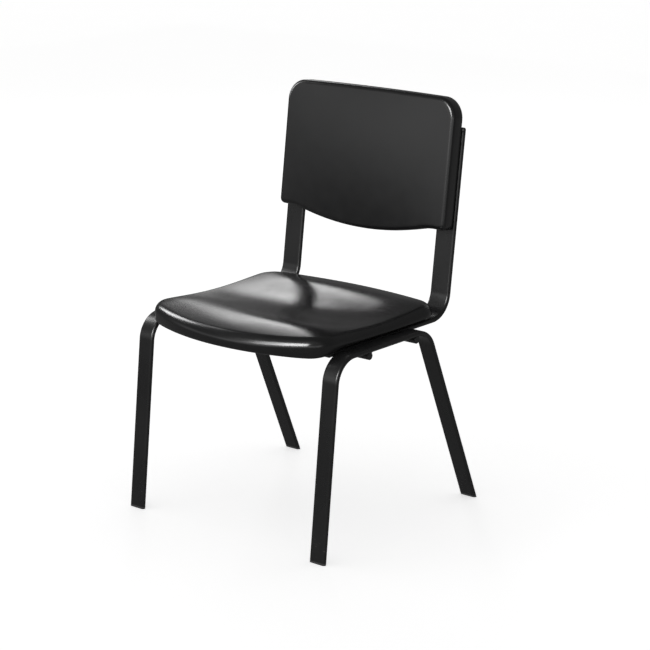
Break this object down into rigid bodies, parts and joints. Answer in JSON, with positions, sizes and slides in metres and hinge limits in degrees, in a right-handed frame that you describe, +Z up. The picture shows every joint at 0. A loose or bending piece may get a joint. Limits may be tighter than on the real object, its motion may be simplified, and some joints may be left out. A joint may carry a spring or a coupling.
{
  "type": "choir chair",
  "caption": "Armless choir chair with a broad moulded seat and back on two bent flat-oval tube leg frames, joined by round bars and carrying two leaning uprights.",
  "frame": {"origin": "on the floor under the middle of the chair's overall box, between the four feet", "axes": "+X towards the sitter's left leg frame, -Y the way the sitter faces, +Z up from the floor"},
  "size_m": [0.55, 0.5454, 0.8848],
  "materials": {
    "frame": "satin black powder coat",
    "pad": "smooth semi-gloss black moulded foam skin",
    "board": "matt black stained plywood",
    "screw": "black oxide",
    "tee_nut": "zinc plated",
    "glide": "matt black nylon",
    "plug": "satin black plastic"
  },
  "bodies": {
    "root": {"leg_frame_right": "frame", "leg_frame_left": "frame", "back_upright_right": "frame", "back_upright_left": "frame", "front_cross_bar": "frame", "rear_cross_bar": "frame", "seat_pad": "pad", "seat_board": "board", "back_pad": "pad", "back_board": "board", "seat_screws": "screw", "seat_tee_nuts": "tee_nut", "back_screws": "screw", "back_tee_nuts": "tee_nut", "front_glide_right": "glide", "front_glide_left": "glide", "rear_glide_right": "glide", "rear_glide_left": "glide", "post_plug_right": "plug", "post_plug_left": "plug", "run_plug_right": "plug", "run_plug_left": "plug"}
  },
  "joints": []
}
